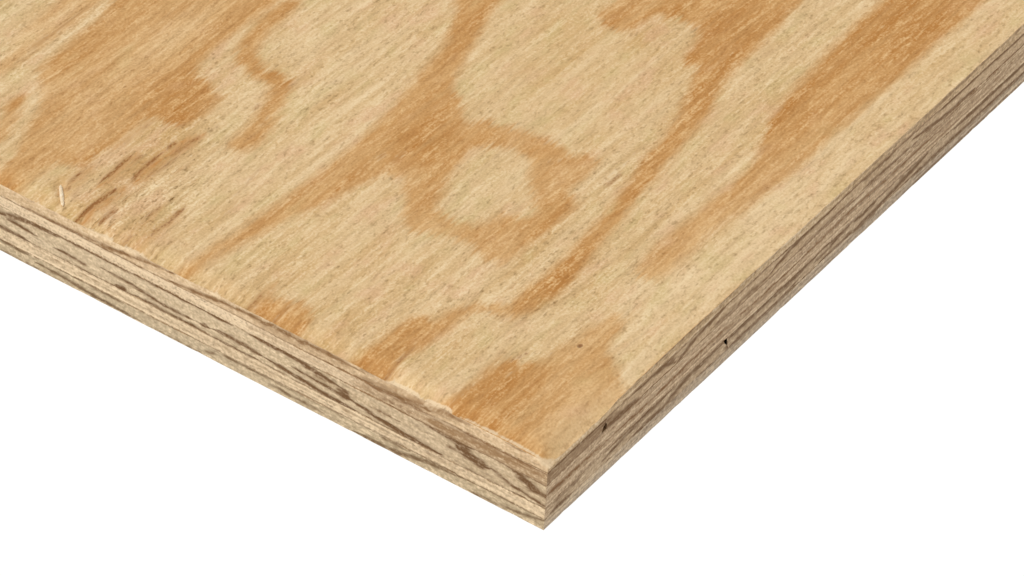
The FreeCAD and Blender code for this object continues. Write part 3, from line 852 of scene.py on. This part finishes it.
def lay_out(mesh, points, zones, veneer):
    """Gives the mesh its bake map, part by part. A later part takes its faces from an earlier one."""
    loops = np.array([corner for face in veneer.faces for corner in face])
    sizes = np.array([len(face) for face in veneer.faces])
    first = np.concatenate([[0], np.cumsum(sizes)[:-1]])
    at = dict(zip(("u", "v", "depth"), points[loops].T))
    low_u, low_v = (np.minimum.reduceat(at[axis], first) for axis in "uv")
    high_u, high_v = (np.maximum.reduceat(at[axis], first) for axis in "uv")
    near = (high_u < NEAR_PATCH[0]) & (high_v < NEAR_PATCH[1])
    start, stop = veneer.foot_start, veneer.foot_stop
    whole = {"u": (start, stop), "v": (0.0, WIDTH), "depth": veneer.levels[::-1]}
    patch = {**whole, "u": (start, min(stop, NEAR_PATCH[0])), "v": (0.0, NEAR_PATCH[1])}
    parts = [
        ("long_rest", LONG_EDGE, True, "u", "depth", whole),
        ("long_near", LONG_EDGE, near, "u", "depth", patch),
        ("long_far", LONG_EDGE, low_v > WIDTH / 2, "u", "depth", whole),
        ("short_rest", SHORT_EDGE, True, "v", "depth", whole),
        ("short_near", SHORT_EDGE, near, "v", "depth", patch),
        ("short_far", SHORT_EDGE, low_u > LENGTH / 2, "v", "depth", whole),
    ]
    if veneer.ply in ("face", "back"):
        layout = SHOWN_LAYOUT
        shown, hidden = (TOP, UNDERSIDE) if veneer.figured else (UNDERSIDE, TOP)
        ends = zip("uv", SPLINTER["start"], SPLINTER["stop"])
        beside = {axis: (low - 1, high + 1) for axis, low, high in ends}
        parts += [
            ("sheet", shown, True, "u", "v", whole),
            ("sheet_near", shown, near, "u", "v", patch),
            ("hidden", hidden, True, "u", "v", whole),
            ("sliver", SLIVER, True, "u", "v", beside),
        ]
    else:
        layout = GLUED_LAYOUT
        parts += [
            ("hidden", TOP, True, "u", "v", whole),
            ("hidden_other", UNDERSIDE, True, "u", "v", whole),
            ("gap_start", GAP_WALL, True, "v", "depth", whole),
            ("gap_stop", GAP_WALL, low_u > (start + stop) / 2, "v", "depth", whole),
        ]
    places = np.zeros((len(loops), 2))
    for name, zone, where, across, up, spans in parts:
        corners = np.repeat((zones == zone) & where, sizes)
        (left, right), (bottom, top) = spans[across], spans[up]
        x0, y0, x1, y1 = layout[name]
        x = x0 + (x1 - x0) * (at[across] - left) / (right - left)
        y = y0 + (y1 - y0) * (at[up] - bottom) / (top - bottom)
        places[corners] = np.column_stack([x, y])[corners]
    layer = mesh.uv_layers.new(name="OFBake")
    layer.uv.foreach_set("vector", places.astype(np.float32).ravel())


# ---------------------------------------------------------------- shaders


def math_method(operation, swapped=False):
    """A method that works its signal, and whatever it is given, out with a Math node."""

    def method(self, *others):
        values = (*others, self) if swapped else (self, *others)
        made = self.shader.node("Math", dict(enumerate(values)), operation=operation)
        return Signal(self.shader, made.outputs[0])

    return method


class Signal:
    """A number that a shader works out. Arithmetic on it adds Math nodes."""

    __add__ = __radd__ = math_method("ADD")
    __sub__ = math_method("SUBTRACT")
    __rsub__ = math_method("SUBTRACT", swapped=True)
    __mul__ = __rmul__ = math_method("MULTIPLY")
    __truediv__ = math_method("DIVIDE")
    most = math_method("MAXIMUM")  # the larger of two
    part = math_method("FRACT")  # what is left after the whole number is taken off
    wave = math_method("SINE")

    def __init__(self, shader, socket):
        self.shader = shader
        self.socket = socket

    def __neg__(self):
        return self * -1

    def ease(self, start, stop):
        """0 up to start, 1 from stop on, and an even ease between them."""
        inputs = {"Value": self, "From Min": start, "From Max": stop}
        made = self.shader.node("MapRange", inputs, interpolation_type="SMOOTHSTEP")
        return Signal(self.shader, made.outputs["Result"])


class Nodes:
    """Builds one material's nodes."""

    def __init__(self, name):
        self.material = bpy.data.materials.new(name)
        self.material.use_nodes = True
        self.tree = self.material.node_tree
        self.tree.nodes.clear()

    def node(self, kind, inputs=None, **settings):
        """A new node with these inputs and settings."""
        made = self.tree.nodes.new("ShaderNode" + kind)
        for key, value in settings.items():
            setattr(made, key, value)
        for key, value in (inputs or {}).items():
            self.feed(made.inputs[key], value)
        return made

    def feed(self, socket, value):
        """Links a value that varies, or sets one that doesn't."""
        if isinstance(value, Signal):
            value = value.socket
        if isinstance(value, bpy.types.NodeSocket):
            self.tree.links.new(value, socket)
        else:
            socket.default_value = value

    def finish(self, surface):
        """The material, with this shader on its surface."""
        self.node("OutputMaterial", {"Surface": surface.outputs[0]})
        return self.material


class Wood(Nodes):
    """A material of wood.

    Along is the way that fibres or rings run over the surface, u or v. Across is the other way: v
    on a flat side, depth on a sawn edge. Both are places in mm.
    """

    def __init__(self, name, along, across):
        super().__init__(name)
        where = self.node("TexCoord").outputs["Object"]
        moved = self.node("VectorMath", {0: where, 1: CORNER}, operation="SUBTRACT")
        scale = (1 / MM, 1 / MM, -1 / MM)
        scaled = self.node("VectorMath", {0: moved.outputs[0], 1: scale}, operation="MULTIPLY")
        split = self.node("SeparateXYZ", {0: scaled.outputs[0]})
        places = {axis: Signal(self, socket) for axis, socket in zip(("u", "v", "depth"), split.outputs)}
        self.along, self.across = places[along], places[across]

    def attribute(self, name):
        """One of the numbers that the mesh carries at its points."""
        made = self.node("Attribute", attribute_name=name)
        return Signal(self, made.outputs["Fac"])

    def grain(self, length, width, seed, detail=2.0, roughness=0.5, slant=0.0):
        """Noise from -0.5 to 0.5 with features this long along the grain and this wide, in mm."""
        across = self.across + self.along * slant if slant else self.across
        inputs = {0: self.along / length, 1: across / width, 2: seed * 7.31}
        where = self.node("CombineXYZ", inputs)
        inputs = {"Vector": where.outputs[0], "Scale": 1.0, "Detail": detail, "Roughness": roughness}
        made = self.node("TexNoise", inputs, noise_dimensions="3D")
        return Signal(self, made.outputs["Fac"]) - 0.5

    def mix(self, factor, first, second):
        """One colour to the other by the factor, which is held between 0 and 1."""
        made = self.node("Mix", data_type="RGBA")
        self.feed(made.inputs[0], factor)
        self.feed(made.inputs[6], first)
        self.feed(made.inputs[7], second)
        return made.outputs[2]

    def tint(self, colour, change, darker, lighter):
        """The colour moved towards the darker one where the change is below 0, else the lighter."""
        return self.mix(-change, self.mix(change * 2, colour, lighter), darker)

    def finish(self, colour, relief, roughness):
        """The material, with this colour, relief in mm and roughness."""
        bump = self.node("Bump", {"Height": relief, "Distance": MM, "Strength": 1.0})
        inputs = {"Base Color": colour, "Normal": bump.outputs[0], "Roughness": roughness}
        inputs["Specular IOR Level"] = 0.25
        return super().finish(self.node("BsdfPrincipled", inputs))


def paint(red, green, blue):
    """An sRGB colour, each part from 0 to 255, as the linear colour that a shader takes."""
    parts = [part / 255 for part in (red, green, blue)]
    linear = [part / 12.92 if part < 0.04045 else ((part + 0.055) / 1.055) ** 2.4 for part in parts]
    return (*linear, 1.0)


EARLY_LIGHT = paint(228, 198, 153)
EARLY_DEEP = paint(207, 168, 112)
LATE_LIGHT = paint(215, 170, 112)
LATE_DEEP = paint(184, 126, 62)
PINKISH = paint(222, 178, 138)
GREENISH = paint(208, 184, 128)
# the fine grain's flecks: partly the wood's own pores and pale fibres, partly painted shade and highlight on
# its raised relief
EARLY_DARK = paint(132, 98, 50)
LATE_DARK = paint(146, 92, 34)
EARLY_PALE = paint(246, 222, 180)
LATE_PALE = paint(232, 192, 136)
TORN = paint(146, 94, 44)
# the brown of bruised wood, also painted as the shade beside the tears and in the chips
BRUISE_AND_SHADE = paint(192, 136, 76)
KNOT = paint(132, 84, 44)
BARE_FIBRE = paint(228, 203, 166)  # where wear has opened the wood
RAGGED_FIBRE = paint(150, 120, 84)  # where it is torn out
EDGE_DARK = paint(96, 66, 40)  # the shade between the fibres that the saw has torn up
EDGE_PALE = paint(236, 210, 172)  # and their lit ends


def figured_face(name, seed, drawn):
    """The flat side of a rotary-cut veneer. If drawn, it follows what the mesh carries of the figure."""
    s = Wood(name, "u", "v")
    true_v = s.across
    # the grain wanders a little from side to side
    s.across = s.across + s.grain(45, 16, seed + 11) * 3.0 + s.grain(9, 4, seed + 12) * 0.5

    # growth rings meet the surface as level lines of a slowly changing height, and their edges are
    # drawn out into fingers along the grain
    height = s.grain(380, 85, seed, roughness=0.45)
    fingers = s.grain(20, 0.7, seed + 13)
    wild = (height * 34 + s.across * 0.016 + fingers).wave() * 9 - 1.5
    field, tone = wild, s.grain(90, 22, seed + 10, detail=3.0) * 1.6
    if drawn:
        near = s.attribute("figure_near")
        held = s.attribute("figure") + s.attribute("lean") * fingers * 7
        field = held * near + wild * (1 - near)
        tone = s.attribute("tone") * near + tone * (1 - near)
    ragged = s.grain(6, 2.0, seed + 1, detail=3.0, roughness=0.6) * 3.0
    late = (field + ragged).ease(-1.9, 1.7)
    late = late * (0.92 + tone * 0.4 + s.grain(40, 3, seed + 14) * 0.4 + s.grain(11, 1.6, seed + 15) * 0.25)

    broad = s.grain(60, 2.4, seed + 4)
    lines = s.grain(13, 1.2, seed + 16, detail=0.5)
    streaks = s.grain(3.2, 0.6, seed + 3, detail=1.0, slant=0.02)
    grit = s.grain(0.6, 0.48, seed + 5, detail=1.0)
    pores = s.grain(1.5, 0.75, seed + 7, detail=1.0, slant=-0.03).ease(0.03, 0.3)
    mottle = s.grain(12, 2.6, seed + 2, detail=3.0, roughness=0.6)
    blush = s.grain(9, 4.5, seed + 17) * (1 - late * 0.6)

    shade = 0.38 + tone * 0.55 + mottle * 0.8 + broad * 1.2
    early = s.mix(shade, EARLY_LIGHT, EARLY_DEEP)
    latewood = s.mix(shade + 0.1 + lines * 0.8, LATE_LIGHT, LATE_DEEP)
    colour = s.mix(late, early, latewood)
    colour = s.mix(blush.ease(0.02, 0.25) * 0.5, colour, PINKISH)
    colour = s.mix(blush.ease(-0.02, -0.25) * 0.5, colour, GREENISH)

    fine = grit * (0.62 + late * 0.12) + streaks * (0.52 + late * 0.3) + lines * (0.55 + late * 0.3)
    fine = fine - pores * (0.4 - late * 0.16)
    if drawn:
        rough = s.attribute("rough")
        fine = fine * (1 + rough * 0.6)
    # the fine grain's flecks, partly its own colour and partly painted shade and highlight of its relief
    dark, pale = s.mix(late, EARLY_DARK, LATE_DARK), s.mix(late, EARLY_PALE, LATE_PALE)
    colour = s.tint(colour, fine * 0.95, dark, pale)
    relief = fine * 0.12
    if drawn:
        chips = s.grain(8, 1.1, seed + 9, detail=3.0, roughness=0.6, slant=0.02)
        chipped = chips.ease(0.05, 0.22) * rough
        # bruised brown and painted shade beside the tears and in the rough grain's chips
        bruised_and_shaded = s.attribute("band") * (0.85 + streaks * 2.5)
        torn = s.attribute("torn") * (1.1 + grit * 2.5 + streaks * 2)
        # painted highlight on the lit lips of the tears
        lip_highlight = s.attribute("torn").ease(0.02, 0.2) * streaks.ease(0.0, 0.1) * 0.15
        colour = s.mix(bruised_and_shaded.most(chipped * 0.45), colour, BRUISE_AND_SHADE)
        colour = s.mix(lip_highlight, colour, EARLY_PALE)
        colour = s.mix(torn.ease(0.05, 1.0) * 0.9, colour, TORN)
        from_knot = (true_v - KNOT_V) * (true_v - KNOT_V) + (s.along - KNOT_U) * (s.along - KNOT_U) * 0.5
        pin = from_knot.ease(KNOT_SIZE**2 * 2, 0.0)
        colour = s.mix(pin * 0.85, colour, KNOT)
        worn = (s.attribute("worn") + grit * 0.4 + streaks * 0.8 + mottle).ease(0.25, 0.9)
        colour = s.mix(worn * 0.8, colour, BARE_FIBRE)
        ragged_out = (s.attribute("stain") + streaks * 1.5 + grit * 0.6).ease(0.4, 1.0)
        colour = s.mix(ragged_out * 0.7, colour, RAGGED_FIBRE)
        relief = relief - torn * 0.1 - chipped * 0.15 - pin * 0.2
    return s.finish(colour, relief, 0.7)


def sawn_edge(name, seed, along, look, end_grain):
    """A veneer's sawn edge: growth rings as long bands, and the marks of the saw."""
    s = Wood(name, along, "depth")
    light, deep, band_colour, stain_colour = [paint(*colour) for colour in look]
    if end_grain:
        streaks, grittiness, lined = s.grain(4, 0.6, seed + 5, detail=1.0), 0.85, 0.5
        wander, sway, spacing = s.grain(140, 90, seed), 16.0, 4.6
    else:
        streaks, grittiness, lined = s.grain(9, 0.5, seed + 5, detail=1.0), 1.2, 1.4
        wander, sway, spacing = s.grain(450, 90, seed), 5.0, 3.4
    lines = s.grain(50, 0.6, seed + 8, detail=1.0)
    grit = s.grain(0.6, 0.55, seed + 2, detail=1.0)
    fuzz = s.grain(1.5, 0.7, seed + 7, detail=1.0)
    drift = s.grain(30, 1.6, seed + 4, detail=3.0)
    patches = s.grain(2.3, 0.9, seed + 6)

    # away from the corner the rings are level lines of the depth, which wander along the edge
    ring = ((s.across + wander * sway) / spacing).part()
    wild = ring.ease(0.3, 0.75) * ring.ease(1.0, 0.85) * (0.6 + drift * 3)
    near = s.attribute("band_near")
    band = s.attribute("band") * near + wild * (1 - near)
    # the saw breaks a band up into dashes and roughens its rims
    band = (band * 1.15 + patches * 1.4 + grit * 0.4 + streaks * 0.4).ease(0.0, 0.95) * band.ease(0.0, 0.2)
    stain = s.attribute("stain") * (1.0 + patches + drift)
    glue = s.attribute("glue") * (0.78 + drift * 2.4 + patches * 1.2)

    colour = s.mix(0.45 + drift * 1.3 + streaks * 0.7 + lines * 1.2, light, deep)
    colour = s.mix(stain, colour, stain_colour)
    colour = s.mix(band, colour, band_colour)
    colour = s.mix(glue, colour, band_colour)
    colour = s.mix(s.attribute("worn") * (0.7 + fuzz) - s.attribute("stain"), colour, BARE_FIBRE)
    fine = (grit * grittiness + fuzz * 0.7 + streaks * 0.45 + lines * lined) * (1 - band.most(stain) * 0.6)
    colour = s.tint(colour, fine * 1.1, EDGE_DARK, EDGE_PALE)
    relief = fuzz * 0.06 + streaks * 0.06 - band * 0.08 - s.attribute("glue") * 0.08
    return s.finish(colour, relief, 0.85)


# wood without a figure: along, across, the length and the width of its fibres, light and deep wood
PLAIN_WOODS = {
    "glued_side": ("u", "v", 10, 10, (178, 140, 96), (150, 112, 72)),
    # the core gap's walls are painted darker than the glued sides: painted shade inside the gap
    "shaded_gap_wall": ("v", "depth", 9, 0.8, (128, 94, 60), (92, 66, 40)),
    "sliver": ("u", "v", 2, 0.6, (248, 232, 204), (226, 196, 154)),
}


def plain_wood(name):
    """A glued side, the wall of a core gap, or the splinter."""
    along, across, length, width, light, deep = PLAIN_WOODS[name]
    s = Wood(name, along, across)
    fibre = s.grain(length, width, 71, detail=3.0)
    return s.finish(s.mix(0.5 + fibre * 2, paint(*light), paint(*deep)), fibre * 0.2, 0.8)


# the sawn edges across the grain and along it: light wood, deep wood, bands and stains
END_GRAIN = {
    "face": ((218, 187, 148), (196, 164, 122), (132, 96, 58), (150, 116, 80)),
    "core": ((211, 187, 152), (185, 160, 124), (110, 78, 46), (154, 122, 86)),
    "back": ((200, 178, 144), (174, 152, 118), (120, 94, 64), (172, 152, 128)),
    "upper": ((212, 181, 143), (188, 156, 118), (130, 97, 64), (154, 122, 88)),
    "lower": ((206, 177, 142), (178, 149, 115), (128, 97, 66), (176, 142, 112)),
}
LONG_GRAIN = {
    "face": ((222, 189, 147), (192, 160, 118), (142, 108, 72), (172, 138, 102)),
    "core": ((216, 186, 150), (190, 158, 122), (138, 100, 62), (154, 122, 86)),
    "back": ((216, 192, 162), (192, 168, 138), (146, 118, 88), (178, 162, 144)),
    "upper": ((236, 210, 174), (212, 184, 146), (130, 94, 58), (156, 122, 84)),
    "lower": ((226, 200, 163), (200, 173, 136), (134, 102, 66), (162, 130, 94)),
}

# ---------------------------------------------------------------- pieces


def levels_of(node):
    """The depths of a CAD node's head and foot."""
    low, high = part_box(node)
    return ((CORNER.z - high.z) / MM, (CORNER.z - low.z) / MM)


def outline_of(node):
    """The first and last u of a CAD node, at its foot and at its head."""
    low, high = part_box(node)
    places = [vertex.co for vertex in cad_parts[node].data.vertices]
    spans = []
    for level in (low.z, high.z):
        us = [(place.x - CORNER.x) / MM for place in places if abs(place.z - level) < 0.1 * MM]
        spans.append((min(us), max(us)))
    return spans


def half_gaps(outlines, place):
    """Half the gap before a strip and half the one after it, each at its foot and at its head."""
    before, after = (0.0, 0.0), (0.0, 0.0)
    if place > 0:
        before = [(own[0] - other[1]) / 2 for own, other in zip(outlines[place], outlines[place - 1])]
    if place < len(outlines) - 1:
        after = [(other[0] - own[1]) / 2 for own, other in zip(outlines[place], outlines[place + 1])]
    return before, after


# each ply's slot, and the glue lines at its head and its foot
PLIES = {
    "face": ("face_pine", (None, "face_upper")),
    "upper": ("crossband_pine", ("face_upper", "upper_core")),
    "core": ("core_pine", ("upper_core", "core_lower")),
    "lower": ("crossband_pine", ("core_lower", "lower_back")),
    "back": ("back_pine", ("lower_back", None)),
}


def edge_materials(ply, seed):
    """A ply's sawn long and short edges. The crossbands' grain runs across the panel."""
    if ply in ("upper", "lower"):
        looks = (END_GRAIN[ply], True), (LONG_GRAIN[ply], False)
    else:
        looks = (LONG_GRAIN[ply], False), (END_GRAIN[ply], True)
    return [
        sawn_edge(f"{ply}_{edge}_edge", seed + 10 * number, along, look, end_grain)
        for number, (edge, along, (look, end_grain)) in enumerate(zip(("long", "short"), "uv", looks))
    ]


def build_plies():
    """Every veneer and crossband strip, each in place of its CAD node."""
    glued, shaded_gap_wall, sliver = (plain_wood(name) for name in PLAIN_WOODS)
    face = figured_face("face_figure", 1, drawn=True)
    back = figured_face("back_figure", 40, drawn=False)
    for number, (ply, (slot, glue)) in enumerate(PLIES.items()):
        on_long, on_short = edge_materials(ply, 10 + 20 * number)
        top, underside = face if ply == "face" else glued, back if ply == "back" else glued
        nodes = sorted(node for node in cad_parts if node.startswith(ply))
        for place, node in enumerate(nodes):
            gaps = half_gaps([outline_of(other) for other in nodes], place)
            veneer = Veneer(ply, outline_of(node), levels_of(node), glue, gaps)
            name = node.replace("crossband", "band").replace("veneer", "sheet")
            piece = veneer.build(name, [top, underside, on_long, on_short, shaded_gap_wall, sliver])
            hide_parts(node)
            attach(piece, "root")


# ---------------------------------------------------------------- floor, light and camera

# the floor's sizes, in metres
FLOOR_REACH = 100.0  # from the middle to each side
FLOOR_DROP = 0.00002  # how far below the underside it lies, so that the two never share a plane
RIM_HEIGHT = 2.5  # the low wall round it, which stands where a level view would see its end
FLOOR_SHADE = 0.05  # the share of light that it throws back, so low that no shadow shows on it
FLOOR_GLOW = 0.99  # the light it gives off, as a light table


def build_floor():
    """A white light table under the panel, with a rim. From behind it is clear."""
    mesh = bpy.data.meshes.new("floor")
    signs = [(-1, -1), (1, -1), (1, 1), (-1, 1)]
    levels = (-FLOOR_DROP, RIM_HEIGHT)
    corners = [(x * FLOOR_REACH, y * FLOOR_REACH, level) for level in levels for x, y in signs]
    rim = [(side, side + 4, (side + 1) % 4 + 4, (side + 1) % 4) for side in range(4)]
    mesh.from_pydata(corners, [], [(0, 1, 2, 3), *rim])
    s = Nodes("light_table")
    inputs = {"Base Color": (FLOOR_SHADE, FLOOR_SHADE, FLOOR_SHADE, 1), "Roughness": 0.9}
    inputs |= {"Specular IOR Level": 0.1, "Emission Color": (1, 1, 1, 1), "Emission Strength": FLOOR_GLOW}
    lit = s.node("BsdfPrincipled", inputs)
    behind = s.node("NewGeometry").outputs["Backfacing"]
    clear = s.node("BsdfTransparent")
    inputs = {0: behind, 1: lit.outputs[0], 2: clear.outputs[0]}
    mesh.materials.append(s.finish(s.node("MixShader", inputs)))
    put("floor", mesh)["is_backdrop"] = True


SKY = 0.34  # even light from all round
LAMP = {"strength": 2.55, "breadth": 60.0, "towards": (-0.5, 0.2, 0.84)}  # the breadth in degrees


def build_lights():
    """Soft studio light: an even sky and one broad lamp, high over the short edge."""
    world = bpy.data.worlds.new("studio")
    world.use_nodes = True
    sky = world.node_tree.nodes["Background"].inputs
    sky["Color"].default_value = (1, 1, 1, 1)
    sky["Strength"].default_value = SKY
    bpy.context.scene.world = world
    light = bpy.data.lights.new("lamp", "SUN")
    light.energy = LAMP["strength"]
    light.angle = math.radians(LAMP["breadth"])
    lamp = put("lamp", light)
    lamp.rotation_euler = Vector(LAMP["towards"]).to_track_quat("Z", "Y").to_euler()


# the camera: where it looks from, in degrees, and where the near top corner lies before it, in mm
AZIMUTH, ELEVATION, ROLL = -57.062, 39.936, 3.620
CORNER_IN_VIEW = Vector((7.003, -33.071, -959.62))
LENS, SENSOR = 175.78, 36.0
CLIP_START, CLIP_END = 0.05, 500.0  # in metres


def build_camera():
    """A long lens that looks down on the near corner."""
    a, e, roll = (math.radians(angle) for angle in (AZIMUTH, ELEVATION, ROLL))
    back = Vector((math.sin(a) * math.cos(e), -math.cos(a) * math.cos(e), math.sin(e)))
    right = Vector((0, 0, 1)).cross(back).normalized()
    up = back.cross(right)
    tilted_right = math.cos(roll) * right + math.sin(roll) * up
    tilted_up = math.cos(roll) * up - math.sin(roll) * right
    turn = Matrix((tilted_right, tilted_up, back)).transposed()
    data = bpy.data.cameras.new("camera")
    data.lens = LENS
    data.sensor_width = SENSOR
    data.clip_start, data.clip_end = CLIP_START, CLIP_END
    camera = put("camera", data)
    camera.matrix_world = Matrix.Translation(CORNER - turn @ CORNER_IN_VIEW * MM) @ turn.to_4x4()
    bpy.context.scene.camera = camera


build_plies()
build_floor()
build_lights()
build_camera()
bpy.context.scene.view_settings.view_transform = "Standard"

boxes = {"cad": CAD_BOX, "visual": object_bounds()}
{name: [list(corner) for corner in box] for name, box in boxes.items()}
